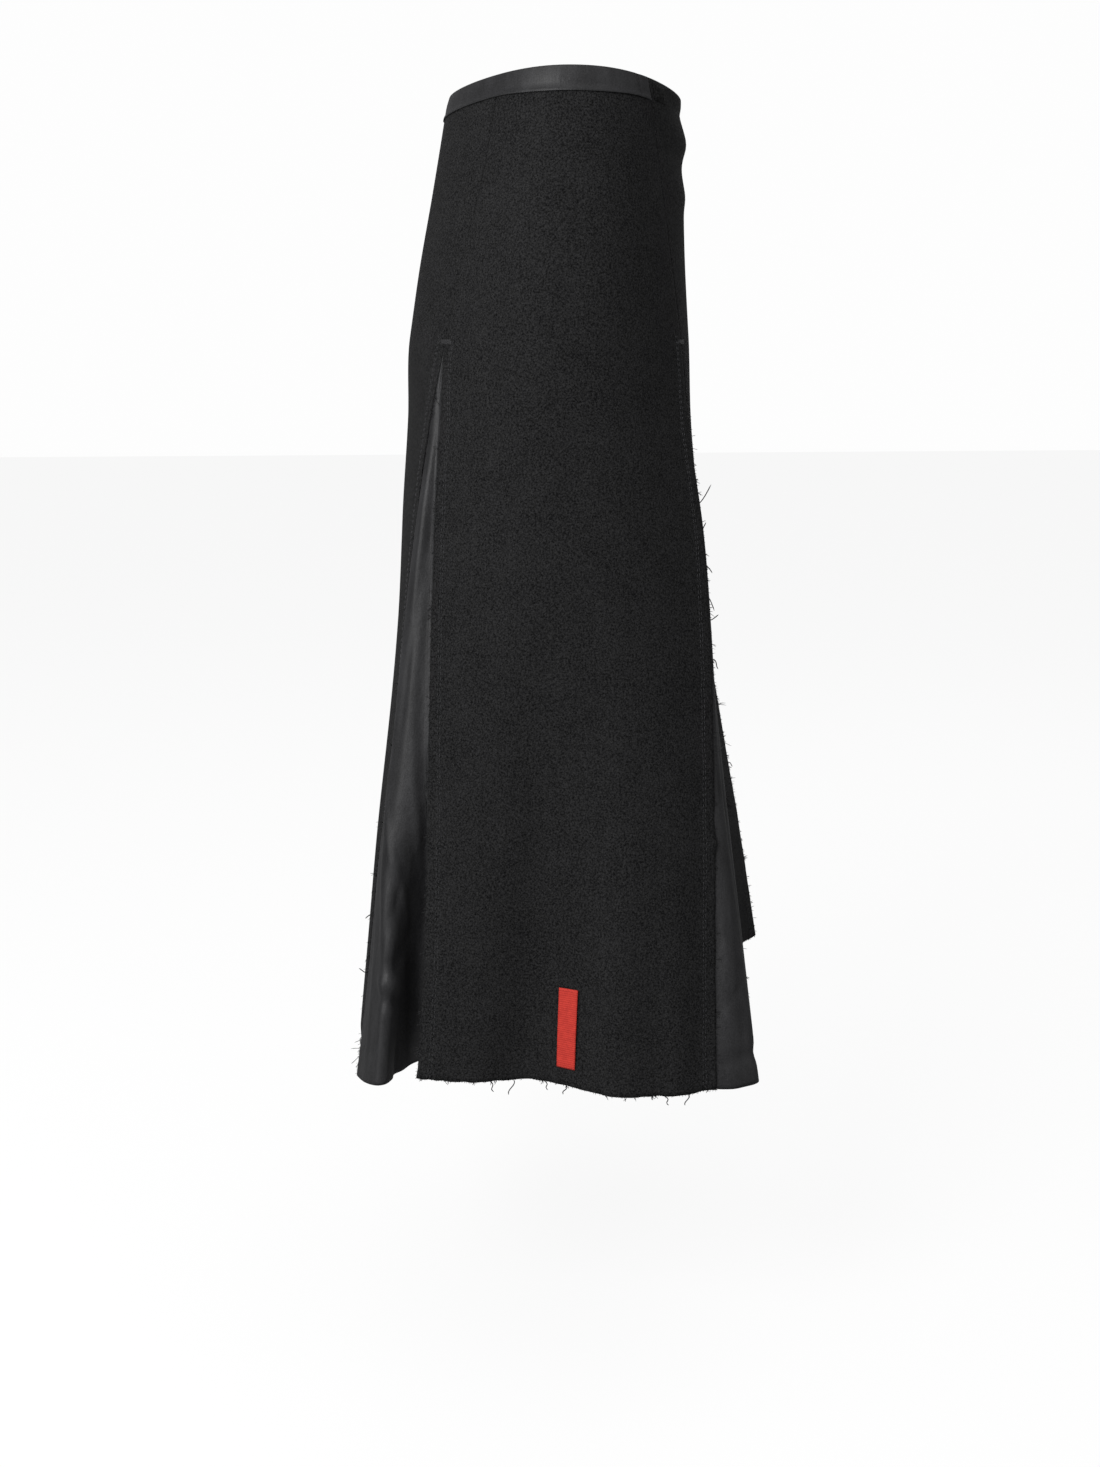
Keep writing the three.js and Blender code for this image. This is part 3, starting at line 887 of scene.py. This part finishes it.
def make_waistband():
    lines = np.array([band_line(drop) for drop in BAND_DROPS])
    out = np.array([line_normals(line) for line in lines])
    along = distances(lines[0])
    to_end = along[-1] - along
    near_end = smooth(np.minimum(to_end, along[-1] - to_end), 0, BAND_END)[None, :, None]
    down = np.array(BAND_DROPS)[:, None, None]
    laps = smooth(down, *BAND_LAP_DROPS) * (END_LAP + (1 - END_LAP) * near_end)
    puff = BAND_PUFF * np.sin(np.pi * np.clip(down / BAND_PUFF_HEIGHT, 0, 1)) * near_end
    groove = BAND_GROOVE * bell(to_end, BAND_SEAM, BAND_GROOVE_WIDTH)[None, :, None]
    outer = lines + out * (laps * (BAND_LAP + BAND_LAP_GAP) + puff - groove)
    inner = lines + out * (laps * BAND_LAP_GAP - (1 - laps) * BAND)
    make_cloth("waistband", outer, inner, "nylon")


# ---------------- tabs

PROBE = 0.01  # a short way across a panel, to turn millimetres into places
EDGE_WALL = 0.35  # thickness and gap at a softened edge, as shares of the full ones
EDGE_GAP = 0.4


def patch_grid(panel, middle, top, length, width, thickness, columns, rows, bulge=0.0, soft=0.0):
    """Outer and inner grids of a patch on a panel. soft is the width of its edges, pressed thin."""
    outer, inner = [], []
    for r in range(rows + 1):
        drop = top + length * r / rows
        near = panel_points(panel, [middle, middle + PROBE], drop)
        sideways = (np.arange(columns + 1) / columns - 0.5) * width
        places = middle + sideways * (PROBE / np.linalg.norm(near[1] - near[0]))
        line = panel_points(panel, places, drop)
        out = line_normals(line)
        height = crease_height(CREASES[panel], places, drop, panel_length(panel, drop))
        from_edge = np.minimum(width / 2 - np.abs(sideways), min(drop - top, top + length - drop))
        full = smooth(from_edge, 0, soft) if soft else 1.0
        wall = thickness * (EDGE_WALL + (1 - EDGE_WALL) * full)
        under = PATCH_GAP * (EDGE_GAP + (1 - EDGE_GAP) * full)
        rise = bulge * math.sin(math.pi * r / rows)
        inner.append(line + out * (height + under + rise)[:, None])
        outer.append(line + out * (height + under + rise + wall)[:, None])
    return np.array(outer), np.array(inner)


def make_tabs():
    outer, inner = patch_grid(
        "front", middle=0.055, top=3, length=18, width=18,
        thickness=1.2, columns=24, rows=24, soft=5.0,
    )
    # The tab gets the darker wool, which carries painted shade.
    make_cloth("closing_tab", outer, inner, "tab_wool_painted_shade")
    outer, inner = patch_grid(
        "side_right", middle=0.5, top=697, length=62, width=16,
        thickness=1.0, columns=12, rows=46, bulge=0.6,
    )
    make_cloth("ribbon_tab", outer, inner, "ribbon")


# ---------------- thread

THREAD_END = 0.45  # thickness of a thread's ends, as a share of the rest
ASLANT = (0.31, 0.52, 0.79)  # a direction that no thread runs along


def tubes(paths, radius, sides=4):
    """Vertices and faces of many thin closed tubes, tapered at their ends."""
    vertices, faces = [], []
    for path in paths:
        path = np.asarray(path, float)
        base = len(vertices)
        count = len(path)
        for k, point in enumerate(path):
            ahead = unit(path[min(k + 1, count - 1)] - path[max(k - 1, 0)])
            side = unit(np.cross(ahead, ASLANT))
            other = np.cross(ahead, side)
            thin = THREAD_END if k in (0, count - 1) else 1.0
            for s in range(sides):
                angle = 2 * math.pi * s / sides
                away = side * math.cos(angle) + other * math.sin(angle)
                vertices.append(point + away * radius * thin)
        for k in range(count - 1):
            for s in range(sides):
                a = base + k * sides + s
                b = base + k * sides + (s + 1) % sides
                faces.append((a, b, b + sides, a + sides))
        faces.append(tuple(base + s for s in reversed(range(sides))))
        faces.append(tuple(base + (count - 1) * sides + s for s in range(sides)))
    return np.array(vertices), faces


def make_threads(name, vertices, faces, material, slot):
    add_mesh(name, vertices, faces, MATERIALS[material])


# A stitch: share of its length, and how far it stands out of the cloth there.
STITCH_SHAPE = ((0, -0.15), (0.25, 0.2), (0.75, 0.2), (1, -0.15))
TOPSTITCH = {"length": 3.2, "gap": 1.1}
TOPSTITCH_RADIUS = 0.18
ROWS_APART = 2.4  # between the two lines of topstitching
BAND_STITCH = {"length": 2.0, "gap": 0.6}
RIBBON_STITCH = {"length": 1.8, "gap": 0.7}
FINE_RADIUS = 0.16  # of the thread in the waistband and in the ribbon


def stitches_along(line, out, length, gap):
    """Short stitches along a line of points, each sunk at its ends into the cloth."""
    along = distances(line)
    made = []
    start = 0.0
    while start + length < along[-1]:
        path = []
        for share, rise in STITCH_SHAPE:
            at = start + share * length
            path.append(at_distance(line, along, at) + at_distance(out, along, at) * rise)
        made.append(path)
        start += length + gap
    return made


def line_in(grid, normals, side, distance):
    """Points and directions down a surface, at a distance in from the raw edge on one side."""
    points, directions = [], []
    for row, out in zip(grid, normals):
        if side == 1:
            row, out = row[::-1], out[::-1]
        along = distances(row)
        points.append(at_distance(row, along, distance))
        directions.append(at_distance(out, along, distance))
    return np.array(points), np.array(directions)


def make_topstitching():
    """Two lines of stitches down each raw edge, from where the godet begins."""
    for panel, node in PANEL_NODES.items():
        grid = SURFACES[node]
        normals = outward_normals(grid)
        first = first_row_below(panel, GODET_TOP)
        paths = []
        for side in (0, 1):
            for distance in (LAP - ROWS_APART / 2, LAP + ROWS_APART / 2):
                line, out = line_in(grid[first:], normals[first:], side, distance)
                paths += stitches_along(line, out, **TOPSTITCH)
        make_threads(f"topstitching_{panel}", *tubes(paths, TOPSTITCH_RADIUS), "stitch", "wool")


TACK_STITCHES = 7
TACK_STEP = 0.5  # from one stitch of a bar tack down to the next
TACK_RADIUS = 0.28
TACK_COLUMNS = 3  # a tack reaches nearly this many columns into each panel
TACK_REACH = 0.9
TACK_FOOT = 0.1  # how far its stitches stand out at their ends and between them
TACK_HEIGHT = 0.5


def make_bar_tacks():
    """A dense short bar across each seam where its godet begins."""
    for name, start, end, _ in GODETS:
        a = SURFACES[PANEL_NODES[start]][first_row_below(start, GODET_TOP) + 1]
        row = first_row_below(end, GODET_TOP) + 1
        b = SURFACES[PANEL_NODES[end]][row]
        out = outward_normals(SURFACES[PANEL_NODES[end]])[row, TACK_COLUMNS - 1]
        paths = []
        for k in range(TACK_STITCHES):
            lower = np.array([0, 0, -TACK_STEP * k])
            left = a[-1] + (a[-1 - TACK_COLUMNS] - a[-1]) * TACK_REACH + lower
            right = b[0] + (b[TACK_COLUMNS] - b[0]) * TACK_REACH + lower
            foot, top = out * TACK_FOOT, out * TACK_HEIGHT
            paths.append([left + foot, left + top, right + top, right + foot])
        make_threads(f"bar_tack_{name}", *tubes(paths, TACK_RADIUS), "tack", "wool")


def make_band_seam():
    """The stitches of the upright seam near the band's end at the front right."""
    grid = SURFACES["waistband"]
    out = outward_normals(grid)
    along = distances(grid[0][::-1])[1:]
    column = grid.shape[1] - 2 - int(np.searchsorted(along, BAND_SEAM))
    paths = stitches_along(grid[:, column], out[:, column], **BAND_STITCH)
    make_threads("waistband_seam", *tubes(paths, FINE_RADIUS), "tack", "nylon")


def make_ribbon_stitches():
    """A line of stitches across each end of the ribbon tab."""
    grid = SURFACES["ribbon_tab"]
    out = outward_normals(grid)
    paths = []
    for row in (1, -2):
        paths += stitches_along(grid[row], out[row], **RIBBON_STITCH)
    make_threads("ribbon_tab_stitching", *tubes(paths, FINE_RADIUS), "ribbon_stitch", "ribbon")


# ---------------- frayed edges

FRAYS_FROM = GODET_TOP + 40.0
FRAY_SEED = 401
# Short fibres all along a raw edge, and clumps of longer yarn ends.
FRAYS = (
    {"every": 1.2, "shortest": 0.6, "longest": 2.0, "radius": 0.16, "strands": 1},
    {"every": 14.0, "shortest": 1.5, "longest": 4.5, "radius": 0.24, "strands": 3},
)
# How much more ragged an edge is than the others: more fibres, and longer ones.
RAGGED = {("back", 1): 1.7, ("front", 0): 1.8, ("side_left", 0): 1.4, ("front", 1): 1.3}
HEM_FIBRES = 0.8  # length of the hem's fibres, as a share of the side edges'
DOWN = np.array([0, 0, -1.0])
EDGE_DROOP = 0.25
HEM_DROOP = 0.05
STRAND_STEPS = 5
THREAD_RADIUS = 0.42
THREAD_WAVE = (1.3, 5.0)  # how far a loose thread swings to each side, and how often
HEM_WAVE = (1.2, 6.0)


def strand(root, direction, sideways, length, droop, rng):
    """A curling fibre from a raw edge."""
    bend = rng.uniform(-0.7, 0.7)
    path = []
    for k in range(STRAND_STEPS + 1):
        t = k / STRAND_STEPS
        point = root + direction * length * t + sideways * length * bend * t * t
        path.append(point + DOWN * droop * length * t * t)
    return path


# Long loose threads: panel, side of the raw edge, drop, and how far the thread's end is away from the
# edge, out of the body and up.
LOOSE_THREADS = (
    ("front", 0, 332, 2, 11, 15),
    ("front", 0, 352, 3, 5, 7),
    ("front", 0, 378, 2, 8, -9),
    ("front", 0, 405, 4, 7, -14),
    ("front", 0, 424, 2, 8, 4),
    ("side_right", 1, 446, 8, 1, -9),
    ("side_right", 1, 520, 9, 3, 5),
    ("side_right", 0, 540, 5, 2, -8),
    ("back", 1, 515, 5, 5, 6),
    ("back", 1, 640, 6, 6, -4),
    ("back", 1, 690, 5, 7, 4),
    ("back", 0, 640, 6, 4, -9),
    ("side_left", 0, 500, 7, 3, 8),
    ("side_left", 1, 610, 6, 4, -8),
    ("front", 1, 600, 8, 3, -6),
)

# Threads that hang from the hem: panel, place across, length and sideways lean in millimetres.
HEM_THREADS = (
    ("side_right", 0.28, 9, 3),
    ("side_right", 0.35, 12, -4),
    ("side_right", 0.44, 7, 3),
    ("side_right", 0.5, 8, -2),
    ("side_right", 0.82, 7, 3),
    ("side_right", 0.9, 8, -3),
    ("front", 0.3, 9, 3),
    ("back", 0.4, 10, -4),
    ("side_left", 0.6, 9, 4),
)


def fibre_length(fray, rng):
    return fray["shortest"] + (fray["longest"] - fray["shortest"]) * rng.random() ** 2


def side_fibres(panel, grid, out, fray, rng):
    """Fibres from the two raw side edges of a panel."""
    first = first_row_below(panel, FRAYS_FROM)
    last = len(grid) - 1.001  # just above the last row
    paths = []
    for side, end, inside in EDGES:
        ragged = RAGGED.get((panel, side), 1.0)
        down = length_of(grid[first:, end])
        for _ in range(int(down / fray["every"] * ragged)):
            at = rng.uniform(first, last)
            i, w = int(at), at % 1
            root = grid[i, end] * (1 - w) + grid[i + 1, end] * w
            root = root - out[i, end] * WOOL * rng.uniform(0.1, 0.5)
            away = unit(grid[i, end] - grid[i, inside])
            for _ in range(fray["strands"]):
                aim = away + out[i, end] * rng.uniform(-0.1, 0.9)
                aim = unit(aim + np.array([0, 0, rng.uniform(-0.9, 0.8)]))
                size = fibre_length(fray, rng) * ragged
                paths.append(strand(root, aim, out[i, end], size, EDGE_DROOP, rng))
    return paths


def hem_fibres(grid, out, fray, rng):
    """Fibres that point down from the hem of a panel."""
    hem = grid[-1]
    along = distances(hem)
    paths = []
    for _ in range(int(along[-1] / fray["every"])):
        at = rng.uniform(0, along[-1])
        column = int(np.clip(np.searchsorted(along, at), 1, len(hem) - 1))
        across = unit(hem[column] - hem[column - 1])
        root = at_distance(hem, along, at) - out[-1, column] * WOOL * rng.uniform(0.1, 0.9)
        for _ in range(fray["strands"]):
            aim = unit(DOWN + across * rng.uniform(-0.9, 0.9))
            size = fibre_length(fray, rng) * HEM_FIBRES
            paths.append(strand(root, aim, across, size, HEM_DROOP, rng))
    return paths


def loose_threads(panel, grid, out):
    """Long threads that have come loose from a panel's raw side edges."""
    paths = []
    for name, side, drop, reach, stands_out, up in LOOSE_THREADS:
        if name != panel:
            continue
        _, end, inside = EDGES[side]
        i = first_row_below(panel, drop)
        away = unit(grid[i, end] - grid[i, inside])
        path = []
        for t in np.linspace(0, 1, 10):
            level = away * reach * t + out[i, end] * stands_out * t
            rise = np.array([0, 0, up * t**1.5])
            swing = away * THREAD_WAVE[0] * math.sin(THREAD_WAVE[1] * t)
            path.append(grid[i, end] + level + rise + swing)
        paths.append(path)
    return paths


def hem_threads(panel, grid):
    """Threads that hang from a panel's hem, each in a shallow wave."""
    paths = []
    for name, place, length, lean in HEM_THREADS:
        if name != panel:
            continue
        column = int(place * (grid.shape[1] - 1))
        across = unit(grid[-1, column + 1] - grid[-1, column])
        path = []
        for t in np.linspace(0, 1, 9):
            swing = across * (lean * t + HEM_WAVE[0] * math.sin(HEM_WAVE[1] * t))
            path.append(grid[-1, column] + swing + DOWN * length * t)
        paths.append(path)
    return paths


def make_frays():
    for panel, node in PANEL_NODES.items():
        grid = SURFACES[node]
        out = outward_normals(grid)
        rng = np.random.default_rng(FRAY_SEED + ROUND.index(panel))
        parts = []
        for fray in FRAYS:
            paths = side_fibres(panel, grid, out, fray, rng) + hem_fibres(grid, out, fray, rng)
            parts.append(tubes(paths, fray["radius"], sides=3))
        threads = loose_threads(panel, grid, out) + hem_threads(panel, grid)
        parts.append(tubes(threads, THREAD_RADIUS, sides=5))
        vertices, faces = [], []
        for points, made in parts:
            base = len(vertices)
            vertices.extend(points)
            faces += [tuple(base + i for i in face) for face in made]
        make_threads(f"frayed_threads_{panel}", vertices, faces, "fray", "wool")


# ---------------- assembly

make_camera()
make_floor()
make_lights()
make_panels()
make_godets()
make_waistband()
make_tabs()
make_topstitching()
make_bar_tacks()
make_frays()
make_band_seam()
make_ribbon_stitches()

for piece in PIECES.values():
    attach(piece, "root")
